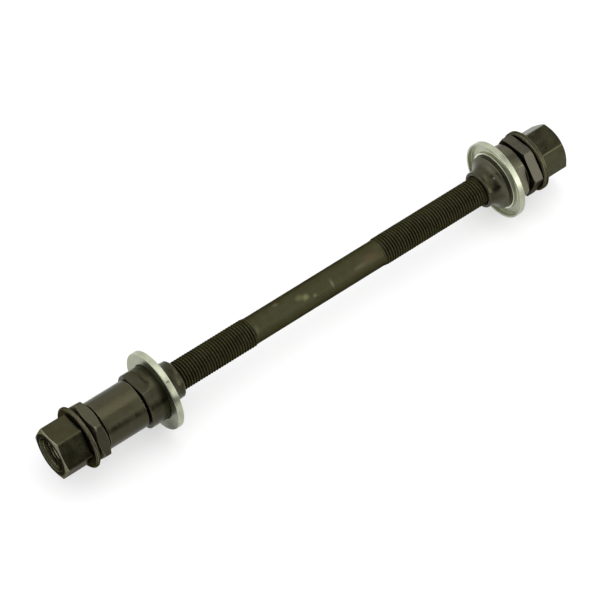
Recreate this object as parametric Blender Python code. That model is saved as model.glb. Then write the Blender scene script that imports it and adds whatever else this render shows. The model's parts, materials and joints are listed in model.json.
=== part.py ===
# Rear hub axle of a bicycle: a solid threaded rod with bearing cones, dust caps, a spacer, locknuts and axle nuts.
# Metres, +Z up. The rod lies along Y and rests on the rims of its two dust caps.
# Left means the -Y end. The origin is on the rod's axis, midway between the outer faces of the two axle nuts.
import math

import bmesh
import bpy
from mathutils import Matrix, Vector

# Rod
rod_length = 0.1850
thread_diameter = 0.0095       # crests of the 3/8 inch thread
plain_diameter = 0.0089        # unthreaded middle, the blank from which the thread is rolled
plain_length = 0.0495
rod_end_chamfer = 0.0011
left_end_recess = 0.0068       # how far the rod's end lies inside the left nut
right_end_recess = 0.0032

# Fits
thread_clearance = 0.00010     # radial gap between the rod's crests and a bore on it
seat_gap = 0.0003              # axial gap where two pieces meet face to face
cap_clearance = 0.00010        # radial gap between a dust cap and its cone

# Bearing cones
cone_diameter = 0.0183
cone_small_diameter = 0.0124   # land in front of the race
left_cone_length = 0.0146
right_cone_length = 0.0141
cone_land = 0.0010
race_groove_radius = 0.0044
race_rim_round = 0.0002
cone_edge = 0.0003
cone_bore_edge = 0.0005
wrench_flats_across = 0.0150
wrench_flat_length = 0.0042
wrench_flat_corner = 0.0030
left_flat_turn = 100.5         # direction that a flat faces, in degrees about the rod from +X towards +Z
right_flat_turn = 20.0

# Dust caps
cap_diameter = 0.0265
cap_depth = 0.0021
cap_sheet = 0.0006
cap_bend = 0.0008              # outer radius of the folded edges
left_cap_setback = 0.0064      # from the outer end of the cone to the cap's closed face
right_cap_setback = 0.0055

# Spacer and thin washer
spacer_diameter = 0.0160
spacer_length = 0.0147
spacer_edge = 0.0004
lock_washer_diameter = 0.0156
lock_washer_thickness = 0.0004
lock_washer_edge = 0.0001

# Locknuts
locknut_across_flats = 0.0180
left_locknut_width = 0.0041
right_locknut_width = 0.0034
left_locknut_turn = 56.5       # direction of a corner, in degrees about the rod from +X towards +Z
right_locknut_turn = 70.5

# Axle nuts and their washers
nut_across_flats = 0.0153
nut_height = 0.0091
left_nut_turn = 67.5
right_nut_turn = 48.8
nut_washer_diameter = 0.0207
left_nut_washer_thickness = 0.0014
right_nut_washer_thickness = 0.0020
nut_washer_edge = 0.0004
left_washer_gap = 0.0005       # between the left nut and its washer, which is loose
left_nut_gap = 0.0007          # between the left locknut and the washer of the outer nut
right_nut_gap = 0.0005

# Hexagon form: each crown is the diameter left flat on an end face, as a share of the width across flats
hex_chamfer_angle = 30.0
left_nut_chamfer_angle = 15.0  # the left nut's corners are turned down less steeply than the others'
locknut_crown = 0.94           # both ends of the left locknut
thin_locknut_crown = 1.09      # over 1, so that only the right locknut's corners are clipped
nut_outer_crown = 0.94
nut_seat_crown = 1.14          # towards the washer, where the corners are barely broken
locknut_bore_edge = 0.0006     # countersink at both ends of the bore
nut_bore_edge = 0.0009

# Fineness
turn_steps = 48
cap_turn_steps = 32            # facets of a dust cap, wide enough for the axle to lie still on them
bend_steps = 3
inner_bend_steps = 1
race_steps = 7

bore_radius = thread_diameter / 2 + thread_clearance
rod_axis = Vector((0, 1, 0))


def chain(start, lengths):
    """Start and end of each length, laid one after another from start."""
    places = []
    for length in lengths:
        places.append((start, start + length))
        start += length
    return places


# Places along the rod, from the left nut's outer face to the right nut's
left_stack = [
    nut_height, left_washer_gap, left_nut_washer_thickness, left_nut_gap, left_locknut_width,
    seat_gap, spacer_length, seat_gap, left_cone_length,
]
right_stack = [
    right_cone_length, seat_gap, lock_washer_thickness, seat_gap, right_locknut_width,
    right_nut_gap, right_nut_washer_thickness, seat_gap, nut_height,
]
overall_length = left_end_recess + rod_length + right_end_recess
cone_gap = overall_length - sum(left_stack) - sum(right_stack)
left_places = chain(-overall_length / 2, left_stack)
right_places = chain(left_places[-1][1] + cone_gap, right_stack)


def arc(radius_at, along_at, radius, first, last, steps):
    """Points (distance from the rod's axis, place along it) of an arc, angles in degrees from the outward direction."""
    angles = [math.radians(first + (last - first) * i / steps) for i in range(steps + 1)]
    return [(radius_at + radius * math.cos(a), along_at + radius * math.sin(a)) for a in angles]


def finish_mesh(bm, name, colour, metallic, roughness):
    """Make an object of a bmesh, shaded smooth apart from its edges, with a material of its own."""
    bmesh.ops.remove_doubles(bm, verts=bm.verts, dist=1e-6)
    bmesh.ops.recalc_face_normals(bm, faces=bm.faces)
    mesh = bpy.data.meshes.new(name)
    bm.to_mesh(mesh)
    bm.free()
    mesh.shade_smooth()
    mesh.set_sharp_from_angle(angle=math.radians(30))
    piece = bpy.data.objects.new(name, mesh)
    bpy.context.scene.collection.objects.link(piece)
    material = bpy.data.materials.new(name + "_finish")
    material.use_nodes = True
    shader = material.node_tree.nodes["Principled BSDF"]
    shader.inputs["Base Color"].default_value = (*colour, 1)
    shader.inputs["Metallic"].default_value = metallic
    shader.inputs["Roughness"].default_value = roughness
    mesh.materials.append(material)
    return piece


def black_steel(bm, name):
    return finish_mesh(bm, name, (0.055, 0.050, 0.030), 0.9, 0.42)


def zinc_plate(bm, name):
    return finish_mesh(bm, name, (0.62, 0.63, 0.58), 1.0, 0.28)


def turned(outline, steps=turn_steps):
    """A bmesh turned about the rod's axis from a closed outline of (distance from the axis, place along it).

    The first facet is centred on -Z, so that a ring lies on a facet and not on an edge.
    """
    bm = bmesh.new()
    start_angle = -math.pi / 2 + math.pi / steps
    across = Vector((math.cos(start_angle), 0, math.sin(start_angle)))
    verts = [bm.verts.new(across * radius + rod_axis * along) for radius, along in outline]
    edges = [bm.edges.new((verts[i - 1], verts[i])) for i in range(len(verts))]
    bmesh.ops.spin(
        bm, geom=verts + edges, cent=(0, 0, 0), axis=rod_axis, angle=2 * math.pi,
        steps=steps, use_merge=True,
    )
    return bm


def ring_outline(outer, bore, start, end, edge, inner_edge):
    """Section of a ring with chamfered edges outside and in its bore."""
    return [
        (bore, start + inner_edge), (bore + inner_edge, start),
        (outer - edge, start), (outer, start + edge),
        (outer, end - edge), (outer - edge, end),
        (bore + inner_edge, end), (bore, end - inner_edge),
    ]


def hide_cutter(cutter):
    cutter.hide_render = True
    cutter.display_type = "WIRE"


def cut(piece, cutter, operation):
    modifier = piece.modifiers.new(operation.lower(), "BOOLEAN")
    modifier.operation = operation
    modifier.solver = "EXACT"
    modifier.object = cutter


def make_rod():
    """The rod's ends are chamfered, and its middle is left at the diameter of the blank."""
    start = left_places[0][0] + left_end_recess
    end = start + rod_length
    middle = (start + end) / 2
    crest = thread_diameter / 2
    plain = plain_diameter / 2
    step = crest - plain
    outline = [
        (0, start), (crest - rod_end_chamfer, start), (crest, start + rod_end_chamfer),
        (crest, middle - plain_length / 2 - step), (plain, middle - plain_length / 2),
        (plain, middle + plain_length / 2), (crest, middle + plain_length / 2 + step),
        (crest, end - rod_end_chamfer), (crest - rod_end_chamfer, end), (0, end),
    ]
    return black_steel(turned(outline), "axle_rod")


def make_nut(name, place, across_flats, corner_turn, crowns, bore_edge, chamfer_angle=hex_chamfer_angle):
    """A turned blank with both ends chamfered as its two crowns say, cut to a hexagon."""
    start, end = place
    corner = across_flats / math.sqrt(3)
    blank = corner + seat_gap
    faces = [crown * across_flats / 2 for crown in crowns]
    depths = [(blank - face) * math.tan(math.radians(chamfer_angle)) for face in faces]
    outline = [
        (bore_radius, start + bore_edge), (bore_radius + bore_edge, start),
        (faces[0], start), (blank, start + depths[0]), (blank, end - depths[1]), (faces[1], end),
        (bore_radius + bore_edge, end), (bore_radius, end - bore_edge),
    ]
    nut = black_steel(turned(outline), name)
    prism = bmesh.new()
    ring = []
    for i in range(6):
        angle = math.radians(corner_turn + 60 * i)
        ring.append(prism.verts.new((corner * math.cos(angle), start - corner, corner * math.sin(angle))))
    base = prism.faces.new(ring)
    grown = bmesh.ops.extrude_face_region(prism, geom=[base])["geom"]
    tops = [item for item in grown if isinstance(item, bmesh.types.BMVert)]
    bmesh.ops.translate(prism, verts=tops, vec=rod_axis * (end - start + 2 * corner))
    cutter = black_steel(prism, name + "_hexagon")
    hide_cutter(cutter)
    cut(nut, cutter, "INTERSECT")
    return nut


def make_cone(name, outer_end, length, inward, flat_turn):
    """A bearing cone: a cylinder with two wrench flats at its outer end and a ball race at its inner end.

    inward is +1 where the race faces +Y and -1 where it faces -Y.
    """
    body = cone_diameter / 2
    small = cone_small_diameter / 2
    rim = body - race_rim_round
    race_turn = math.acos(1 - (rim - small) / race_groove_radius)
    race_foot = length - cone_land
    race_top = race_foot - race_groove_radius * math.sin(race_turn)
    race = arc(
        small + race_groove_radius, race_foot, race_groove_radius,
        180 + math.degrees(race_turn), 180, race_steps,
    )
    section = [
        (bore_radius, cone_bore_edge), (bore_radius + cone_bore_edge, 0),
        (body - cone_edge, 0), (body, cone_edge), (body, race_top - race_rim_round),
        *race, (small, length - cone_edge), (small - cone_edge, length),
        (bore_radius + cone_bore_edge, length), (bore_radius, length - cone_bore_edge),
    ]
    outline = [(radius, outer_end + inward * along) for radius, along in section]
    cone = black_steel(turned(outline), name)
    cutter = make_flat_cutter(name + "_flats", outer_end, inward, flat_turn)
    cut(cone, cutter, "DIFFERENCE")
    return cone


def make_flat_cutter(name, outer_end, inward, flat_turn):
    """Two slabs with rounded inner corners, as an end mill leaves them."""
    flat = wrench_flats_across / 2
    body = cone_diameter / 2
    half = math.sqrt(body ** 2 - flat ** 2)
    corner = min(wrench_flat_corner, half, wrench_flat_length)
    inner = wrench_flat_length - corner
    bend = arc(half - corner, inner, corner, 0, 90, 2 * bend_steps)
    side = bend + [(-across, along) for across, along in reversed(bend)]
    outline = [(half, -body), *side, (-half, -body)]
    bm = bmesh.new()
    for turn in (flat_turn, flat_turn + 180):
        facing = Vector((math.cos(math.radians(turn)), 0, math.sin(math.radians(turn))))
        across = facing.cross(rod_axis)
        corners = [
            bm.verts.new(facing * flat + across * a + rod_axis * (outer_end + inward * along))
            for a, along in outline
        ]
        base = bm.faces.new(corners)
        grown = bmesh.ops.extrude_face_region(bm, geom=[base])["geom"]
        tops = [item for item in grown if isinstance(item, bmesh.types.BMVert)]
        bmesh.ops.translate(bm, verts=tops, vec=facing * body)
    cutter = black_steel(bm, name)
    hide_cutter(cutter)
    return cutter


def make_dust_cap(name, closed_face, inward):
    """A cap pressed from sheet: a flat ring with its rim and its collar both folded towards the hub's middle."""
    rim = cap_diameter / 2
    collar = cone_diameter / 2 + cap_clearance
    lip = cap_sheet / 2
    bend = min(cap_bend, 0.45 * (rim - collar))
    inner_bend = bend - cap_sheet
    section = [
        *arc(rim - bend, bend, bend, -90, 0, bend_steps),
        *arc(rim - lip, cap_depth - lip, lip, 0, 180, bend_steps),
        *arc(rim - bend, bend, inner_bend, 0, -90, inner_bend_steps),
        *arc(collar + bend, bend, inner_bend, -90, -180, inner_bend_steps),
        *arc(collar + lip, cap_depth - lip, lip, 0, 180, bend_steps),
        *arc(collar + bend, bend, bend, 180, 270, bend_steps),
    ]
    outline = [(radius, closed_face + inward * along) for radius, along in section]
    return zinc_plate(turned(outline, cap_turn_steps), name)


def make_ring(name, place, outer, bore, edge, inner_edge):
    return black_steel(turned(ring_outline(outer, bore, *place, edge, inner_edge)), name)


def main():
    for item in list(bpy.data.objects):
        bpy.data.objects.remove(item, do_unlink=True)
    make_rod()

    left_cone_end = left_places[8][0]
    right_cone_end = right_places[0][1]
    make_cone("left_cone", left_cone_end, left_cone_length, 1, left_flat_turn)
    make_cone("right_cone", right_cone_end, right_cone_length, -1, right_flat_turn)
    make_dust_cap("left_dust_cap", left_cone_end + left_cap_setback, 1)
    make_dust_cap("right_dust_cap", right_cone_end - right_cap_setback, -1)

    make_ring("long_spacer", left_places[6], spacer_diameter / 2, bore_radius, spacer_edge, spacer_edge)
    make_ring(
        "right_lock_washer", right_places[2], lock_washer_diameter / 2, bore_radius,
        lock_washer_edge, lock_washer_edge,
    )
    make_nut(
        "left_locknut", left_places[4], locknut_across_flats, left_locknut_turn,
        (locknut_crown, locknut_crown), locknut_bore_edge,
    )
    make_nut(
        "right_locknut", right_places[4], locknut_across_flats, right_locknut_turn,
        (thin_locknut_crown, thin_locknut_crown), locknut_bore_edge,
    )

    washer = (nut_washer_diameter / 2, bore_radius, nut_washer_edge, nut_washer_edge)
    make_ring("left_nut_washer", left_places[2], *washer)
    make_ring("right_nut_washer", right_places[6], *washer)
    make_nut(
        "left_axle_nut", left_places[0], nut_across_flats, left_nut_turn,
        (nut_outer_crown, nut_seat_crown), nut_bore_edge, left_nut_chamfer_angle,
    )
    make_nut(
        "right_axle_nut", right_places[8], nut_across_flats, right_nut_turn,
        (nut_seat_crown, nut_outer_crown), nut_bore_edge,
    )


main()
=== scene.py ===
# The looks of a bicycle's rear hub axle: black oxide steel with a rolled thread, and two zinc plated dust caps.
# Pieces are worked out in millimetres and degrees, and put into their meshes in metres. The stage is in metres.
# The rod lies along Y, with the long spacer's end at -Y.
import json
import math
import bpy
import numpy as np
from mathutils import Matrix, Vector


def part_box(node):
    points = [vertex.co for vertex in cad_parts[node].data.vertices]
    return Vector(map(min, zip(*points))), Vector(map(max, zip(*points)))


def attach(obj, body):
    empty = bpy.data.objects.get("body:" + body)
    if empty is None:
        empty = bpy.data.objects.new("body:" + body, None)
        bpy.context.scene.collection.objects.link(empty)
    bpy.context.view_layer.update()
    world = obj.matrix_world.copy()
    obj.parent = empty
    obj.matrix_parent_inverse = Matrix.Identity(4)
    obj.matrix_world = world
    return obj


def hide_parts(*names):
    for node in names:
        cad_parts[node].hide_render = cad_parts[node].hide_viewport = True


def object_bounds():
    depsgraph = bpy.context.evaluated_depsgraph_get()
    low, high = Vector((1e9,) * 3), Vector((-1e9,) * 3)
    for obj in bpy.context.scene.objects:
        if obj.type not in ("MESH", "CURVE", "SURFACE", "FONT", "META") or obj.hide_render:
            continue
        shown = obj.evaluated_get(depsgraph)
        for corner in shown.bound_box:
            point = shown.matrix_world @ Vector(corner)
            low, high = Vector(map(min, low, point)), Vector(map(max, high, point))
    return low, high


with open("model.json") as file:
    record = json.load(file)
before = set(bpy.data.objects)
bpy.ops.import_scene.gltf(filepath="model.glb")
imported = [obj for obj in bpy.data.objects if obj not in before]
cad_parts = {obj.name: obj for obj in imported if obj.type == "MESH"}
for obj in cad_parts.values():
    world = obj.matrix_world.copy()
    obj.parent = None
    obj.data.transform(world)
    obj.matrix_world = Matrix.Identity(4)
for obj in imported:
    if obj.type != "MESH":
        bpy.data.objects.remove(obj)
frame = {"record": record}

cadBox = [list(corner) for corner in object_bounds()]
mm = 0.001
nearly = 0.02  # two places closer than this are taken as one
past = 0.1     # a place this far beyond an edge is clear of its rounding


# Sections and surfaces

thread = {"lead": 25.4 / 26,                        # what one turn moves a nut by
          "crestShare": 0.14, "rootShare": 0.88,    # where the flank starts and ends, as shares of its wave
          "roundness": 0.35}                        # how much the flank swings into crest and root
edgeWear = {"edgeRadius": 0.25, "start": 0.12}      # wear is this radius over the edge's own, less the start
arcPoints = 6


# A closed outline of (distance from the axis, place along it) with its corners turned into arcs. Each arc is
# the quadratic curve from one side of its corner to the other, pulled towards the corner, and takes less than
# half of a side. The stretches between arcs are cut into equal steps of about the spacing.
def roundedSection(corners, roundings, spacing):
    corners = np.array(corners, float)
    before = np.roll(corners, 1, axis=0) - corners
    after = np.roll(corners, -1, axis=0) - corners
    lengthBefore = np.linalg.norm(before, axis=1)
    lengthAfter = np.linalg.norm(after, axis=1)
    before /= lengthBefore[:, None]
    after /= lengthAfter[:, None]
    half = np.arccos(np.clip((before * after).sum(1), -1, 1)) / 2
    longest = 0.49 * np.minimum(lengthBefore, lengthAfter)
    cut = np.minimum(np.array(roundings, float) / np.tan(half), longest)
    share = np.linspace(0, 1, arcPoints)[None, :, None]
    first = (corners + before * cut[:, None])[:, None]
    last = (corners + after * cut[:, None])[:, None]
    arcs = (1 - share) ** 2 * first + 2 * share * (1 - share) * corners[:, None] + share ** 2 * last
    path = arcs.reshape(-1, 2)
    path = np.concatenate([path, path[:1]])
    steps = np.linalg.norm(np.diff(path, axis=0), axis=1)
    counts = np.maximum(1, np.ceil(steps / spacing)).astype(int)
    which = np.repeat(np.arange(len(steps)), counts)
    part = (np.arange(counts.sum()) - np.repeat(np.cumsum(counts) - counts, counts)) / counts[which]
    dense = path[which] + (path[which + 1] - path[which]) * part[:, None]
    return dense[:, 0], dense[:, 1]


# The smaller of two values, with their crossing rounded over the width.
def smoothLow(a, b, width):
    near = np.clip(1 - np.abs(a - b) / width, 0, 1)
    return np.minimum(a, b) - near ** 2 * width / 4


# A share from 0 to 1 that leaves 0 and reaches 1 without a corner: three times its square less twice its cube.
def smoothShare(share):
    return share * share * (3 - 2 * share)


# Distance from the axis to a hexagon's side in each direction: half the width across flats over the cosine of
# the angle to the nearest side's middle. Near a corner it is less, at the corner itself by 0.28 of the rounding.
def hexRadius(turns, acrossFlats, corner, rounding):
    folded = (turns - math.radians(corner)) % (math.pi / 3)
    side = acrossFlats / 2 / np.cos(folded - math.pi / 6)
    fromCorner = np.minimum(folded, math.pi / 3 - folded) * acrossFlats / 2
    near = np.clip(1 - fromCorner / rounding, 0, 1)
    return side - near ** 2 * rounding * 0.28


# Depth below the crest of a right-hand thread, from 0 to 1: the place along the rod, moved on by one lead for
# each turn, is folded into a triangle wave whose top and bottom are flattened.
def threadDepth(alongs, turns):
    phase = alongs / thread["lead"] + turns / (2 * math.pi)
    wave = np.abs(2 * (phase - np.floor(phase)) - 1)
    flank = np.clip((wave - thread["crestShare"]) / (thread["rootShare"] - thread["crestShare"]), 0, 1)
    return thread["roundness"] * smoothShare(flank) + (1 - thread["roundness"]) * flank


# How sharply a grid bends outwards, along its rows and along its columns, for each millimetre: a point's height
# over the middle of its two neighbours, over the square of their distance. The tiny additions only keep a
# division from failing.
def outwardBend(points, closedAlong):
    bends = []
    sides = [(np.roll(points, shift, axis=axis) - points) for axis in (0, 1) for shift in (1, -1)]
    normal = np.cross(sides[0] - sides[1], sides[3] - sides[2])
    normal /= np.linalg.norm(normal, axis=2, keepdims=True) + 1e-12
    for before, after in ((sides[0], sides[1]), (sides[2], sides[3])):
        spread = (np.linalg.norm(before, axis=2) + np.linalg.norm(after, axis=2)) / 2 + 1e-6
        bends.append(-((before + after) * normal).sum(2) / spread ** 2)
    if not closedAlong:
        bends[0][[0, -1]] = 0
    return bends


# A new object of the scene, left at the origin.
def addObject(name, data):
    thing = bpy.data.objects.new(name, data)
    bpy.context.scene.collection.objects.link(thing)
    return thing


# The surface on a grid of (row along the section, column round the rod): each point stands at its distance from
# the axis in its column's direction. A ring's last row meets its first; a rod's two end rows are closed by flat
# discs. The wear attribute is 1 on sharp outer edges, and cornerShare says how much the corners between faces
# count. The lighter-metal attribute is 1 where the metal is drawn lighter than elsewhere on the piece: bare
# metal on the rod's plain middle, painted light in the nuts' bores and a painted highlight on their chamfers, a
# painted highlight on the right cone, and painted light inside the caps and on their rims.
def makePiece(node, radii, alongs, turns, material, closedAlong=True, cornerShare=1.0, bareAndPaintedLight=0):
    points = np.stack([radii * np.cos(turns), alongs + 0 * turns, radii * np.sin(turns)], axis=2)
    index = np.arange(points.shape[0] * points.shape[1]).reshape(points.shape[:2])
    beside = np.roll(index, -1, axis=1)
    if closedAlong:
        quads = np.stack([index, np.roll(index, -1, axis=0), np.roll(beside, -1, axis=0), beside], axis=2)
    else:
        quads = np.stack([index[:-1], index[1:], beside[1:], beside[:-1]], axis=2)
    quads = quads.reshape(-1, 4)
    # the faces point inwards where the volume that they enclose comes out negative, and are then turned round
    corners = points.reshape(-1, 3)[quads]
    volume = np.einsum("ij,ij->i", corners[:, 0], np.cross(corners[:, 1], corners[:, 2])).sum()
    volume += np.einsum("ij,ij->i", corners[:, 0], np.cross(corners[:, 2], corners[:, 3])).sum()
    inward = volume < 0
    faces = (quads[:, ::-1] if inward else quads).tolist()
    if not closedAlong:
        ends = [index[0], index[-1][::-1]]
        faces += [(end[::-1] if inward else end).tolist() for end in ends]
    rowBend, columnBend = outwardBend(points, closedAlong)
    bend = (rowBend + cornerShare * columnBend) * (1 if inward else -1)
    wear = np.clip(bend * edgeWear["edgeRadius"] - edgeWear["start"], 0, 1)
    name = node + "_form"
    mesh = bpy.data.meshes.new(name)
    mesh.from_pydata((points.reshape(-1, 3) * mm).tolist(), [], faces)
    for label, values in (("wear", wear), ("bareAndPaintedLight", bareAndPaintedLight + 0 * wear)):
        attribute = mesh.attributes.new(label, "FLOAT", "POINT")
        attribute.data.foreach_set("value", values.reshape(-1).astype(np.float32))
    mesh.shade_smooth()
    mesh.materials.append(material)
    piece = addObject(name, mesh)
    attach(piece, bodyOf[node])
    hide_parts(node)


# Each node rides on the body that carries it in the model.
bodyOf = {node: body for body, nodes in frame["record"]["behaviour"]["bodies"].items() for node in nodes}


# A node's ends along the rod and its outer radius.
def spanOf(node):
    low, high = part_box(node)
    return low.y / mm, high.y / mm, (high.x - low.x) / 2 / mm


# The directions of a grid's columns, equal steps of one full turn.
def columns(count):
    return (np.arange(count) * 2 * math.pi / count)[None, :]


# Materials

# Where the noise patterns, whose values run from 0 to 1, take effect
pattern = {"speckShare": 0.35,             # how much of the mottling is specks
           "toneRange": (0.38, 0.62),      # from the first tone to the second
           "rubbedRange": (0.35, 0.62),    # where specks leave an edge dark, and where it is bright
           "leastRubbed": 0.25,
           "markRange": (0.7, 1.5),        # from the middle of a mark to its ragged edge
           "roughRange": (0.3, 0.7),
           "bumpDepth": 0.02}


# A hex sRGB colour as linear values.
def linear(hexColour):
    parts = [int(hexColour[i:i + 2], 16) / 255 for i in (1, 3, 5)]
    return [p / 12.92 if p <= 0.04045 else ((p + 0.055) / 1.055) ** 2.4 for p in parts] + [1]


# One node with its settings, plain numbers on its own sockets, and links from other nodes' sockets.
def addNode(tree, kind, settings=None, links=None):
    node = tree.nodes.new("ShaderNode" + kind)
    for key, value in (settings or {}).items():
        if isinstance(key, str) and hasattr(node, key):
            setattr(node, key, value)
        else:
            node.inputs[key].default_value = value
    for key, source in (links or {}).items():
        tree.links.new(source, node.inputs[key])
    return node


# The empty node tree of a material or world.
def emptyTree(owner):
    owner.use_nodes = True
    owner.node_tree.nodes.clear()
    return owner.node_tree


# A metal whose colour and gloss wander in patches, with fine machining grain, edges rubbed pale (on the left nut
# painted glints), lighter tones where the metal is bare or carries painted light, and marks: those that handling
# has left on this axle, and a painted glint and painted shade.
def metalFinish(name, look, marks=()):
    material = bpy.data.materials.new(name)
    tree = emptyTree(material)
    place = addNode(tree, "TexCoord").outputs["Object"]
    worn = addNode(tree, "Attribute", {"attribute_name": "wear"}).outputs["Fac"]
    patches = addNode(tree, "TexNoise", {"Scale": 1 / (look["patch"] * mm), "Detail": 5.0, "Roughness": 0.6},
                      {"Vector": place}).outputs["Fac"]
    specks = addNode(tree, "TexNoise", {"Scale": 1 / (look["speck"] * mm), "Detail": 3.0, "Roughness": 0.7},
                     {"Vector": place}).outputs["Fac"]
    stretched = addNode(tree, "Mapping", {"Scale": look["grainStretch"]}, {"Vector": place}).outputs["Vector"]
    grain = addNode(tree, "TexNoise", {"Scale": 1 / (look["grain"] * mm), "Detail": 2.0},
                    {"Vector": stretched}).outputs["Fac"]
    # the tone wanders between two colours in patches and specks, and between two lighter others where the metal
    # is bare or carries painted light
    mottled = addNode(tree, "Mix", {0: pattern["speckShare"]}, {2: patches, 3: specks}).outputs[0]
    bareAndPaintedLight = addNode(tree, "Attribute", {"attribute_name": "bareAndPaintedLight"}).outputs["Fac"]
    tones = []
    for pair in (look["tones"], look["bareAndPaintedLightTones"]):
        ramp = addNode(tree, "ValToRGB", links={"Fac": mottled})
        for stop, position, colour in zip(ramp.color_ramp.elements, pattern["toneRange"], pair):
            stop.position = position
            stop.color = linear(colour)
        tones.append(ramp.outputs["Color"])
    toned = addNode(tree, "Mix", {"data_type": "RGBA"}, {0: bareAndPaintedLight, 6: tones[0], 7: tones[1]}).outputs[2]
    # rubbed edges are broken up by the specks
    dark, bright = pattern["rubbedRange"]
    rubbed = addNode(tree, "MapRange", {"From Min": dark, "From Max": bright, "To Max": look["wear"],
                                        "To Min": pattern["leastRubbed"] * look["wear"]},
                     {"Value": specks}).outputs["Result"]
    edge = addNode(tree, "Math", {"operation": "MULTIPLY"}, {0: worn, 1: rubbed}).outputs["Value"]
    colour = addNode(tree, "Mix", {"data_type": "RGBA", 7: linear(look["edge"])},
                     {0: edge, 6: toned}).outputs[2]
    middle, rim = pattern["markRange"]
    for mark in marks:
        # a mark is a soft-edged patch of its own colour: the distance from its place in each direction is
        # counted in shares of its reach there, and the specks make its edge ragged
        shift = [-far / reach for far, reach in zip(mark["place"], mark["reach"])]
        scale = [1 / (reach * mm) for reach in mark["reach"]]
        shares = addNode(tree, "Mapping", {"Location": shift, "Scale": scale}, {"Vector": place})
        away = addNode(tree, "VectorMath", {"operation": "LENGTH"}, {0: shares.outputs[0]}).outputs["Value"]
        ragged = addNode(tree, "Math", {"operation": "ADD"}, {0: specks, 1: away}).outputs["Value"]
        near = addNode(tree, "MapRange", {"From Min": middle, "From Max": rim, "To Min": mark["strength"],
                                          "To Max": 0.0}, {"Value": ragged}).outputs["Result"]
        colour = addNode(tree, "Mix", {"data_type": "RGBA", 7: linear(mark["colour"])},
                         {0: near, 6: colour}).outputs[2]
    low, high = pattern["roughRange"]
    rough = addNode(tree, "MapRange", {"From Min": low, "From Max": high, "To Min": look["rough"][0],
                                       "To Max": look["rough"][1]}, {"Value": patches}).outputs["Result"]
    height = addNode(tree, "Math", {"operation": "ADD"}, {0: grain, 1: specks}).outputs["Value"]
    bump = addNode(tree, "Bump", {"Strength": look["bump"], "Distance": pattern["bumpDepth"] * mm},
                   {"Height": height}).outputs["Normal"]
    shader = addNode(tree, "BsdfPrincipled",
                     {"Metallic": look["metallic"], "Specular Tint": linear(look["rim"])},
                     {"Base Color": colour, "Roughness": rough, "Normal": bump})
    addNode(tree, "OutputMaterial", links={"Surface": shader.outputs[0]})
    return material


# Tones and edge are colours seen head on, and rim is the colour at a glancing angle. Patch, speck and grain are
# sizes in millimetres. Real turning marks are some hundredths of a millimetre apart, too fine to show, so the
# grain is drawn several times as coarse.
# The second pair of tones is the lighter one: bare metal on the rod's plain middle, and painted light and
# painted highlights on the other pieces.
turned = (0.15, 1.0, 0.15)  # turning marks run round the rod, so their pattern is packed along it
milled = (1.0, 0.4, 1.0)
rodLook = {"tones": ("#272410", "#363522"), "bareAndPaintedLightTones": ("#383422", "#3f402d"), "edge": "#6b6850",
           "rim": "#9a988c", "patch": 4.0, "speck": 0.5, "grain": 0.25, "grainStretch": turned, "wear": 0.5,
           "rough": (0.44, 0.56), "bump": 0.25, "metallic": 0.97}
nutLook = {"tones": ("#343121", "#3c3c2c"), "bareAndPaintedLightTones": ("#3f3c2c", "#3f3c2c"), "edge": "#a19e86",
           "rim": "#9a988c", "patch": 3.0, "speck": 0.35, "grain": 0.3, "grainStretch": milled, "wear": 0.8,
           "rough": (0.32, 0.44), "bump": 0.2, "metallic": 0.97}
# The left nut's pale edges are painted glints, and its lighter tones are painted light in the bore and a painted
# highlight on the chamfer at the -Y end.
leftNutLook = dict(nutLook, bareAndPaintedLightTones=("#7c7a66", "#86846f"), edge="#bfbca4", wear=1.0, rough=(0.2, 0.3))
rightNutLook = dict(nutLook, tones=("#3b3827", "#434332"), rim="#ececea", edge="#524f3d", wear=0.3,
                    rough=(0.22, 0.32))
# Its lighter tones are a painted highlight on the chamfer at the -Y end and painted light in the bore.
locknutLook = dict(nutLook, tones=("#3d3b2d", "#464438"), bareAndPaintedLightTones=("#7c7a68", "#86846f"), edge="#77745f")
thinNutLook = dict(nutLook, tones=("#423f35", "#4d4b41"), bareAndPaintedLightTones=("#423f35", "#4d4b41"), edge="#77745f")
washerLook = dict(nutLook, tones=("#373525", "#464333"), edge="#a5a28c", grainStretch=turned, wear=0.9,
                  bump=0.05)
spacerLook = dict(nutLook, tones=("#3a3727", "#403e30"), rim="#ececea", grainStretch=turned, grain=0.2,
                  rough=(0.24, 0.36))
coneLook = dict(nutLook, tones=("#302f20", "#3c3b2d"), bareAndPaintedLightTones=("#302f20", "#3c3b2d"), edge="#7d7a66",
                rim="#ececea", grainStretch=turned, grain=0.15, rough=(0.24, 0.36))
# Its lighter tones are a painted highlight on the flats, the body and the race.
rightConeLook = dict(coneLook, bareAndPaintedLightTones=("#646150", "#6a6859"))
# The zinc's lighter tones are painted light inside the caps and a painted highlight on their rims.
zincLook = {"tones": ("#868a74", "#a5a891"), "bareAndPaintedLightTones": ("#d9dcc6", "#e2e4d2"), "edge": "#d7d9c8",
            "rim": "#ffffff", "patch": 5.0, "speck": 0.6, "grain": 0.3, "grainStretch": turned, "wear": 0.5,
            "rough": (0.27, 0.4), "bump": 0.12, "metallic": 1.0}

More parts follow.
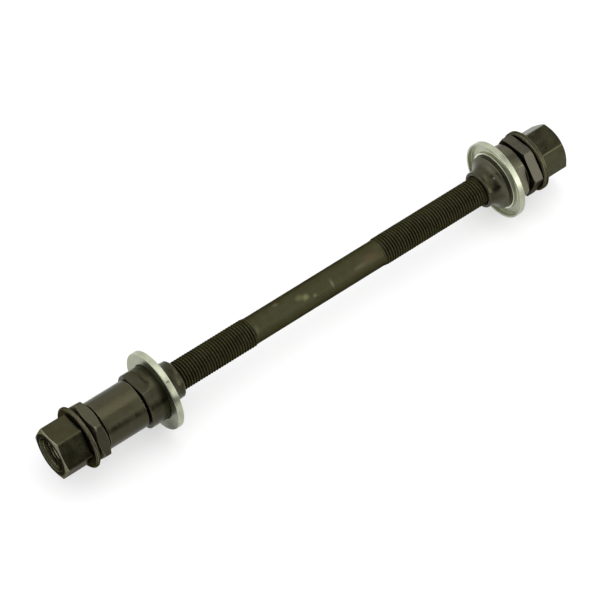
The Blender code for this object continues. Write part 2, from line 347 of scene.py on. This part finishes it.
# Marks, each with its place and reach on the axle in millimetres: handling marks, and on the left locknut a
# painted glint and on the left cap painted shade
rodMarks = [
    {"place": (1.6, -5.4, 4.2), "reach": (1.3, 1.8, 1.1), "colour": "#6f6c4c", "strength": 0.4},
    {"place": (2.3, -3.4, 3.8), "reach": (1.4, 1.6, 1.1), "colour": "#807d58", "strength": 0.5},
    {"place": (2.9, 6.5, 3.4), "reach": (2.0, 0.7, 2.0), "colour": "#77745a", "strength": 0.45},
    {"place": (3.1, -0.4, 3.1), "reach": (0.8, 0.9, 0.8), "colour": "#6f6c55", "strength": 0.4},
    {"place": (2.4, 21.5, 3.7), "reach": (2.0, 4.0, 2.0), "colour": "#554636", "strength": 0.5},
    {"place": (-0.7, -12.9, 4.4), "reach": (1.0, 1.2, 1.0), "colour": "#66644f", "strength": 0.45},
    {"place": (2.9, -22.4, 3.4), "reach": (1.8, 0.8, 1.8), "colour": "#5b5a45", "strength": 0.45},
    {"place": (2.9, 17.5, 3.4), "reach": (1.0, 3.0, 1.0), "colour": "#5b5846", "strength": 0.4},
]
# A pale patch on one corner's chamfer: a painted glint.
locknutGlint = [{"place": (5.8, -85.2, 8.5), "reach": (1.2, 0.9, 1.2), "colour": "#9a9886", "strength": 0.9}]
rightConeMarks = [
    {"place": (3.2, 70.8, 6.4), "reach": (0.4, 0.4, 0.4), "colour": "#8c8c80", "strength": 0.9},
    {"place": (2.3, 70.6, 6.6), "reach": (1.0, 1.0, 0.7), "colour": "#1c1b11", "strength": 0.7},
    {"place": (3.2, 71.9, 7.8), "reach": (0.9, 0.9, 0.6), "colour": "#1c1b11", "strength": 0.6},
    {"place": (5.0, 69.3, 3.9), "reach": (0.8, 1.0, 0.7), "colour": "#15140b", "strength": 0.6},
    {"place": (5.8, 71.0, 4.5), "reach": (0.9, 1.1, 0.7), "colour": "#15140b", "strength": 0.75},
    {"place": (7.3, 71.1, 1.5), "reach": (1.6, 1.8, 2.4), "colour": "#29281b", "strength": 0.45},
]
leftCapNickAndShade = [
    {"place": (6.75, -59.0, 11.35), "reach": (0.55, 0.8, 0.55), "colour": "#3a3c2b", "strength": 0.8},
    # painted shade on the rim's lower side
    {"place": (11.0, -59.0, 7.2), "reach": (1.6, 4.0, 1.7), "colour": "#666855", "strength": 0.7},
    # painted shade on the lower part of the face
    {"place": (9.5, -60.2, -8.5), "reach": (7.0, 1.6, 9.0), "colour": "#474c38", "strength": 0.9},
]

# Rolled and blackened, the darkest of the set, scuffed in its middle
oxideRod = metalFinish("blackOxideRolledThread", rodLook, rodMarks)
# Smooth faces, with painted glints on the edges and a painted highlight on the chamfer at the -Y end
oxideLeftNut = metalFinish("glossyOxideHexagon", leftNutLook)
# An oil film turns white at a glancing angle
oxideRightNut = metalFinish("oiledOxideHexagon", rightNutLook)
# One corner carries a painted glint, and the chamfer at the -Y end a painted highlight
oxideLocknut = metalFinish("blackOxideLocknut", locknutLook, locknutGlint)
# Greyer and lighter than the others
oxideThinNut = metalFinish("greyOxideHexagon", thinNutLook)
# A thin bright line runs round each rim
oxideWasher = metalFinish("blackOxideWasher", washerLook)
# A satin tube that shows long bands of light
oxideSpacer = metalFinish("blackOxideDrawnTube", spacerLook)
# Hardened, with a ground race, and glossier than the nuts
oxideCone = metalFinish("blackOxideHardenedCone", coneLook)
# The same with grease stains, and a painted highlight that makes its flats, body and race paler
oxideRightCone = metalFinish("stainedOxideConeWithPaintedHighlight", rightConeLook, rightConeMarks)
# Pale greenish grey sheet with a satin rim, painted lighter inside the cap as painted light and on the rim as a
# painted highlight
zincSheet = metalFinish("zincPlatedSheet", zincLook)
# The same with a dark nick in the rim, and painted shade on the rim's lower side and on the lower part of the
# face
nickedAndShadedZincSheet = metalFinish("nickedAndShadedZincSheet", zincLook, leftCapNickAndShade)
print("materials made")


# Rod
# Its thread is cut into the crest's radius by the depth of a right-hand helix, and fades out at the plain
# middle. The threaded rows run a little into the middle, up to where the plain rows start.
rod = {"threadDiameter": 9.5, "depth": 0.56, "endChamfer": 1.1, "plainDiameter": 8.9, "plainLength": 49.5,
       "runOut": 1.1, "fadeInside": 0.15, "rowsPerTurn": 9, "columns": 64, "threadedInside": 1.5,
       "plainInside": 1.6, "plainRows": 40}


def makeRod():
    first, last, _ = spanOf("axle_rod")
    middle = (first + last) / 2
    step = thread["lead"] / rod["rowsPerTurn"]
    edges = middle - rod["plainLength"] / 2, middle + rod["plainLength"] / 2
    alongs = np.concatenate([
        np.arange(first, edges[0] + rod["threadedInside"], step),
        np.linspace(edges[0] + rod["plainInside"], edges[1] - rod["plainInside"], rod["plainRows"]),
        np.arange(edges[1] - rod["threadedInside"], last, step), [last]])[:, None]
    turns = columns(rod["columns"])
    crest = rod["threadDiameter"] / 2
    plain = rod["plainDiameter"] / 2
    outside = np.maximum(edges[0] - alongs, alongs - edges[1])
    fade = np.clip((outside + rod["fadeInside"]) / rod["runOut"], 0, 1)
    threaded = crest - rod["depth"] * threadDepth(alongs, turns)
    radii = plain + (threaded - plain) * fade
    chamfer = crest - rod["endChamfer"] + np.minimum(alongs - first, last - alongs)
    makePiece("axle_rod", np.minimum(radii, chamfer), alongs, turns, oxideRod, closedAlong=False,
              bareAndPaintedLight=1 - fade)


makeRod()
print("rod made")


# Nuts
# The turned section, with its chamfers, is cut down to the hexagon's radius. The bore carries the thread, which
# is filled with grease near the ends. The crowns are the flat circles at the two ends, as shares of the width,
# and the edge is how widely a chamfer runs into the sides. The bore takes the lighter tones as painted light
# where it lies in shade, and the chamfer at the -Y end takes them as a painted highlight.
nut = {"bore": 4.88, "threadDepth": 0.42, "threadStart": 1.8, "threadRise": 1.6, "faceRounding": 0.2,
       "boreRounding": 0.08, "blankRounding": 0.05, "blankSpare": 0.3, "cornerRounding": 0.25,
       "paintedHighlightChamfer": 0.75, "paintedLightRise": 0.3, "cornerShare": 0.25, "spacing": 0.13, "columns": 216}
leftAxleNut = {"acrossFlats": 15.3, "corner": 67.5, "crowns": (0.94, 1.14), "boreEdge": 0.9,
               "chamferAngle": 15, "edge": 0.5}
rightAxleNut = {"acrossFlats": 15.3, "corner": 48.8, "crowns": (1.14, 0.94), "boreEdge": 0.9,
                "chamferAngle": 30, "edge": 0.18}
leftLocknut = {"acrossFlats": 18.0, "corner": 56.5, "crowns": (0.94, 0.94), "boreEdge": 0.6,
               "chamferAngle": 30, "edge": 0.18}
rightLocknut = {"acrossFlats": 18.0, "corner": 70.5, "crowns": (1.09, 1.09), "boreEdge": 0.6,
                "chamferAngle": 30, "edge": 0.18}


def makeNut(node, form, material):
    first, last, _ = spanOf(node)
    bore, boreEdge = nut["bore"], form["boreEdge"]
    blank = form["acrossFlats"] / math.sqrt(3) + nut["blankSpare"]
    faces = [crown * form["acrossFlats"] / 2 for crown in form["crowns"]]
    depths = [(blank - face) * math.tan(math.radians(form["chamferAngle"])) for face in faces]
    corners = [(bore, first + boreEdge), (bore + boreEdge, first), (faces[0], first), (blank, first + depths[0]),
               (blank, last - depths[1]), (faces[1], last), (bore + boreEdge, last), (bore, last - boreEdge)]
    inner = [nut["boreRounding"]] * 2
    outer = [nut["faceRounding"], nut["blankRounding"], nut["blankRounding"], nut["faceRounding"]]
    sectionRadii, alongs = roundedSection(corners, inner + outer + inner, nut["spacing"])
    sectionRadii, alongs = sectionRadii[:, None], alongs[:, None]
    turns = columns(nut["columns"])
    sides = hexRadius(turns, form["acrossFlats"], form["corner"], nut["cornerRounding"])
    radii = smoothLow(sectionRadii, sides, form["edge"])
    inBore = sectionRadii < bore + nearly
    fromEnds = np.minimum(alongs - first, last - alongs)
    cutting = np.clip((fromEnds - nut["threadStart"]) / nut["threadRise"], 0, 1)
    radii = np.where(inBore, radii + nut["threadDepth"] * threadDepth(alongs, turns) * cutting, radii)
    # painted highlight on the chamfer at the -Y end, and painted light in the bore
    onChamfer = np.clip((sides - sectionRadii) / nut["paintedLightRise"], 0, 1) * (sectionRadii > faces[0] + past)
    bareAndPaintedLight = np.maximum(inBore, nut["paintedHighlightChamfer"] * onChamfer * (alongs < (first + last) / 2))
    makePiece(node, radii, alongs, turns, material, cornerShare=nut["cornerShare"], bareAndPaintedLight=bareAndPaintedLight)


makeNut("left_axle_nut", leftAxleNut, oxideLeftNut)
makeNut("right_axle_nut", rightAxleNut, oxideRightNut)
makeNut("left_locknut", leftLocknut, oxideLocknut)
makeNut("right_locknut", rightLocknut, oxideThinNut)
print("nuts made")


# Washers and spacer
# Each is a rectangle with broken corners, turned about the rod.
ring = {"bore": 4.86, "spacing": 0.5, "columns": 160}
nutWasher = {"edge": 0.4, "rounding": 0.12}
lockWasher = {"edge": 0.1, "rounding": 0.05}
spacer = {"edge": 0.4, "rounding": 0.12}


def makeRing(node, form, material):
    first, last, outer = spanOf(node)
    bore, edge = ring["bore"], form["edge"]
    corners = [(bore, first + edge), (bore + edge, first), (outer - edge, first), (outer, first + edge),
               (outer, last - edge), (outer - edge, last), (bore + edge, last), (bore, last - edge)]
    sectionRadii, alongs = roundedSection(corners, [form["rounding"]] * len(corners), ring["spacing"])
    turns = columns(ring["columns"])
    makePiece(node, sectionRadii[:, None] + 0 * turns, alongs[:, None], turns, material)


makeRing("left_nut_washer", nutWasher, oxideWasher)
makeRing("right_nut_washer", nutWasher, oxideWasher)
makeRing("right_lock_washer", lockWasher, oxideWasher)
makeRing("long_spacer", spacer, oxideSpacer)
print("washers and spacer made")


# Cones
# The section runs from the outer end over the body to the hollow race, an arc that ends at the land. Two flats
# are planes beside the axis: inside a flat's outline, whose inner corners are rounded, the surface is cut down
# to the plane, and the wall round the outline rises over a short step. The flats, and a little the race and the
# outer end, take the lighter tones, which on the right cone are a painted highlight. Inward is 1 for a race
# that faces +Y and -1 for one that faces -Y.
cone = {"outer": 9.15, "bore": 4.86, "boreEdge": 0.5, "edge": 0.3, "small": 6.2, "land": 1.0, "nose": 0.35,
        "groove": 4.4, "racePoints": 18, "rimRound": 0.2, "boreRounding": 0.08, "endRounding": 0.15,
        "shoulderRounding": 0.12, "rimRounding": 0.1, "raceRounding": 0.02, "noseRounding": 0.12,
        "flatsAcross": 15.0, "flatLength": 4.2, "flatCorner": 3.0, "flatEdge": 0.16, "wall": 0.18,
        "flatsOutside": 6.5, "paintedHighlightRace": 0.42, "paintedHighlightEnd": 0.35, "paintedLightRise": 1.5, "cornerShare": 0.4,
        "columns": 216, "spacing": 0.18}
leftCone = {"inward": 1, "flatTurn": 100.5}
rightCone = {"inward": -1, "flatTurn": 20.0}


def makeCone(node, form, material):
    first, last, _ = spanOf(node)
    inward = form["inward"]
    outerEnd = first if inward > 0 else last
    length, outer, small = last - first, cone["outer"], cone["small"]
    bore, boreEdge, edge, nose = cone["bore"], cone["boreEdge"], cone["edge"], cone["nose"]
    sweep = math.acos(1 - (outer - cone["rimRound"] - small) / cone["groove"])
    angles = np.linspace(sweep, 0, cone["racePoints"])
    race = np.stack([small + cone["groove"] * (1 - np.cos(angles)),
                     length - cone["land"] - cone["groove"] * np.sin(angles)], axis=1)
    raceStart = race[0, 1]
    body = [(bore, boreEdge), (bore + boreEdge, 0), (outer - edge, 0), (outer, edge),
            (outer, raceStart - cone["rimRound"])]
    tip = [(small, length - nose), (small - nose, length), (bore + boreEdge, length), (bore, length - boreEdge)]
    section = np.concatenate([body, race, tip])
    inBore, inNose = [cone["boreRounding"]] * 2, [cone["noseRounding"]] * 2
    onBody = [cone["endRounding"]] * 2 + [cone["shoulderRounding"], cone["rimRounding"]]
    roundings = inBore + onBody + [cone["raceRounding"]] * (len(race) - 1) + inNose + inBore
    section[:, 1] = outerEnd + inward * section[:, 1]
    sectionRadii, alongs = roundedSection(section, roundings, cone["spacing"])
    sectionRadii, alongs = sectionRadii[:, None], alongs[:, None]
    turns = columns(cone["columns"])
    radii = sectionRadii + 0 * turns
    fromEnd = inward * (alongs - outerEnd)
    half = math.sqrt(outer ** 2 - (cone["flatsAcross"] / 2) ** 2)
    corner = cone["flatCorner"]
    onSide = (sectionRadii > cone["flatsOutside"]) & (fromEnd < cone["flatLength"] + 1)
    for middle in (form["flatTurn"], form["flatTurn"] + 180):
        angle = turns - math.radians(middle)
        beside = np.clip(np.abs(outer * np.sin(angle)) - (half - corner), 0, None)
        outline = cone["flatLength"] - corner + np.sqrt(np.clip(corner ** 2 - beside ** 2, 0, None))
        wall = smoothShare(np.clip((fromEnd - outline) / cone["wall"] + 0.5, 0, 1))
        towards = np.maximum(np.cos(angle), 0.5)  # a flat stays within 60 degrees of its middle
        flattened = smoothLow(radii, cone["flatsAcross"] / 2 / towards, cone["flatEdge"])
        radii = np.where(onSide & (towards > 0.5), flattened * (1 - wall) + radii * wall, radii)
    # lighter tones on the flats, the race and the outer end: a painted highlight on the right cone
    fromBore = np.clip((sectionRadii - small) / cone["paintedLightRise"], 0, 1)
    bareAndPaintedLight = fromBore * np.where(fromEnd > raceStart, cone["paintedHighlightRace"], cone["paintedHighlightEnd"])
    bareAndPaintedLight = np.where(np.abs(radii - sectionRadii) > nearly, 1.0, bareAndPaintedLight)
    makePiece(node, radii, alongs, turns, material, cornerShare=cone["cornerShare"], bareAndPaintedLight=bareAndPaintedLight)


makeCone("left_cone", leftCone, oxideCone)
makeCone("right_cone", rightCone, oxideRightCone)
print("cones made")


# Dust caps
# A folded section of sheet: rim, web and collar, with the folds' outer corners rounded, turned about the rod.
# Each opens the way that its cone's race faces. Painted light makes the plating brightest on the collar and
# paler inside, where the channel lies in shade, than outside, and a painted highlight makes the rim a little
# paler.
cap = {"sheet": 0.6, "collar": 9.25, "bend": 0.35, "innerBend": 0.25, "lip": 0.14, "paintedLightCollar": 1.0,
       "paintedLightInside": 0.24, "paintedHighlightRim": 0.1, "columns": 256, "spacing": 0.3}


def makeCap(node, inward, material):
    first, last, rim = spanOf(node)
    closed = first if inward > 0 else last
    depth, sheet, collar = last - first, cap["sheet"], cap["collar"]
    outside = collar + sheet
    section = np.array([(rim, 0), (rim, depth), (rim - sheet, depth), (rim - sheet, sheet),
                        (outside, sheet), (outside, depth), (collar, depth), (collar, 0)])
    bend, innerBend, lip = cap["bend"], cap["innerBend"], cap["lip"]
    section[:, 1] = closed + inward * section[:, 1]
    sectionRadii, alongs = roundedSection(section, [bend, lip, lip, innerBend, innerBend, lip, lip, bend],
                                          cap["spacing"])
    turns = columns(cap["columns"])
    # painted light in the shaded channel and on the collar, and a painted highlight on the rim
    inside = (inward * (alongs - closed) > 0.5 * sheet) & (sectionRadii < rim - 0.5 * sheet)
    bareAndPaintedLight = np.where(sectionRadii < outside + past, cap["paintedLightCollar"], cap["paintedLightInside"]) * inside
    bareAndPaintedLight += cap["paintedHighlightRim"] * (sectionRadii > rim - 0.5 * sheet)
    makePiece(node, sectionRadii[:, None] + 0 * turns, alongs[:, None], turns, material,
              bareAndPaintedLight=bareAndPaintedLight[:, None])


makeCap("left_dust_cap", leftCone["inward"], nickedAndShadedZincSheet)
makeCap("right_dust_cap", rightCone["inward"], zincSheet)
print("caps made")


# Floor, light and camera
# Here places and sizes are in metres, and a light of 1 is as bright as a white wall.
stage = {"floorReach": 3.0, "white": 0.98, "glow": 0.5}
lightPanels = [
    {"name": "overheadPanel", "place": (-0.05, 0.17, 0.95), "size": (0.75, 0.38), "light": 1.9},
    {"name": "backPanel", "place": (-0.82, 0.33, 0.68), "size": (0.80, 1.10), "light": 0.5},
    {"name": "frontPanel", "place": (-0.43, -0.75, 0.43), "size": (0.50, 0.45), "light": 0.8},
    {"name": "highPanel", "place": (0.50, 0.56, 0.72), "size": (0.36, 0.36), "light": 1.8},
    {"name": "lowPanel", "place": (0.66, 0.45, 0.27), "size": (0.36, 0.40), "light": 3.3},
]
blackFlags = [
    {"name": "sideFlag", "place": (0.25, -0.065, 0.045), "size": (0.28, 0.118), "shade": 0.02},
    {"name": "topFlag", "place": (-0.14, 0.535, 0.88), "size": (0.28, 0.28), "shade": 0.2},
    {"name": "cameraFlag", "place": (0.90, -0.70, 0.50), "size": (1.0, 1.0), "shade": 0.15},
]
squareCorners = ((-1, -1), (1, -1), (1, 1), (-1, 1))


# Flat pieces of the stage: one face from four corners.
def makeStagePiece(name, corners, material):
    mesh = bpy.data.meshes.new(name)
    mesh.from_pydata([tuple(corner) for corner in corners], [], [(0, 1, 2, 3)])
    mesh.materials.append(material)
    piece = addObject(name, mesh)
    return piece


# The floor is matt white. Seen by the camera and in the metal it also glows a little, for a soft shadow.
def makeFloor():
    material = bpy.data.materials.new("whiteSweep")
    tree = emptyTree(material)
    white, reach, level = stage["white"], stage["floorReach"], cadBox[0][2]
    rays = addNode(tree, "LightPath").outputs
    seen = addNode(tree, "Math", {"operation": "MAXIMUM"}, {0: rays["Is Camera Ray"], 1: rays["Is Glossy Ray"]})
    share = addNode(tree, "Math", {"operation": "MULTIPLY", 1: stage["glow"]}, {0: seen.outputs[0]}).outputs[0]
    matt = addNode(tree, "BsdfDiffuse", {"Color": (white, white, white, 1)}).outputs[0]
    glow = addNode(tree, "Emission", {"Color": (1, 1, 1, 1), "Strength": 1.0}).outputs[0]
    mixed = addNode(tree, "MixShader", links={0: share, 1: matt, 2: glow}).outputs[0]
    addNode(tree, "OutputMaterial", links={"Surface": mixed})
    makeStagePiece("paleFloor", [(x * reach, y * reach, level) for x, y in squareCorners], material)


# Plain white from everywhere, as bright as white paper.
def makeWorld():
    world = bpy.data.worlds.new("whiteStudio")
    bpy.context.scene.world = world
    tree = emptyTree(world)
    glow = addNode(tree, "Background", {"Color": (1, 1, 1, 1)})
    addNode(tree, "OutputWorld", links={"Surface": glow.outputs[0]})


# A panel faces the axle. Its power is its light times its area times pi.
def makePanel(name, place, size, light):
    data = bpy.data.lights.new(name, "AREA")
    data.shape = "RECTANGLE"
    data.size, data.size_y = size
    data.energy = light * math.pi * size[0] * size[1]
    panel = addObject(name, data)
    panel.location = place
    panel.rotation_euler = (-Vector(place)).to_track_quat("-Z", "Y").to_euler()


# A black card faces the axle and gives the metal its dark bands. Only the metal sees it, and it casts no shadow.
def makeFlag(name, place, size, shade):
    middle, half = Vector(place), Vector(size) / 2
    towards = -middle.normalized()
    across = towards.cross(Vector((0, 0, 1))).normalized()
    up = across.cross(towards)
    corners = [middle + across * x * half.x + up * y * half.y for x, y in squareCorners]
    felt = bpy.data.materials.new(name + "Felt")
    tree = emptyTree(felt)
    matt = addNode(tree, "BsdfDiffuse", {"Color": (shade, shade, shade, 1)})
    addNode(tree, "OutputMaterial", links={"Surface": matt.outputs[0]})
    flag = makeStagePiece(name, corners, felt)
    flag.visible_camera = flag.visible_diffuse = flag.visible_shadow = False


# The camera stands where the photograph was taken from. Its direction is given round the axle and above it, and
# the picture's middle is moved by a few pixels.
view = {"azimuth": 51.9, "elevation": 52.1, "distance": 1.065, "focalPixels": 3476, "imagePixels": 600,
        "placeOnRod": -0.0026, "pixelsRight": 2.92, "pixelsUp": 1.14, "sensorWidth": 36, "clip": (0.01, 20)}


def makeCamera():
    azimuth, elevation = math.radians(view["azimuth"]), math.radians(view["elevation"])
    back = Vector((math.sin(azimuth) * math.cos(elevation), -math.cos(azimuth) * math.cos(elevation),
                   math.sin(elevation)))
    right = Vector((math.cos(azimuth), math.sin(azimuth), 0))
    up = back.cross(right)
    metresPerPixel = view["distance"] / view["focalPixels"]
    aim = Vector((0, view["placeOnRod"], 0))
    aim -= (right * view["pixelsRight"] + up * view["pixelsUp"]) * metresPerPixel
    data = bpy.data.cameras.new("camera")
    data.sensor_width = view["sensorWidth"]
    data.lens = view["focalPixels"] / view["imagePixels"] * view["sensorWidth"]
    data.clip_start, data.clip_end = view["clip"]
    camera = addObject("camera", data)
    camera.location = aim + back * view["distance"]
    camera.rotation_euler = back.to_track_quat("Z", "Y").to_euler()
    bpy.context.scene.camera = camera


makeFloor()
makeWorld()
for panel in lightPanels:
    makePanel(**panel)
for flag in blackFlags:
    makeFlag(**flag)
makeCamera()
bpy.context.scene.view_settings.view_transform = "Standard"
print("stage made")
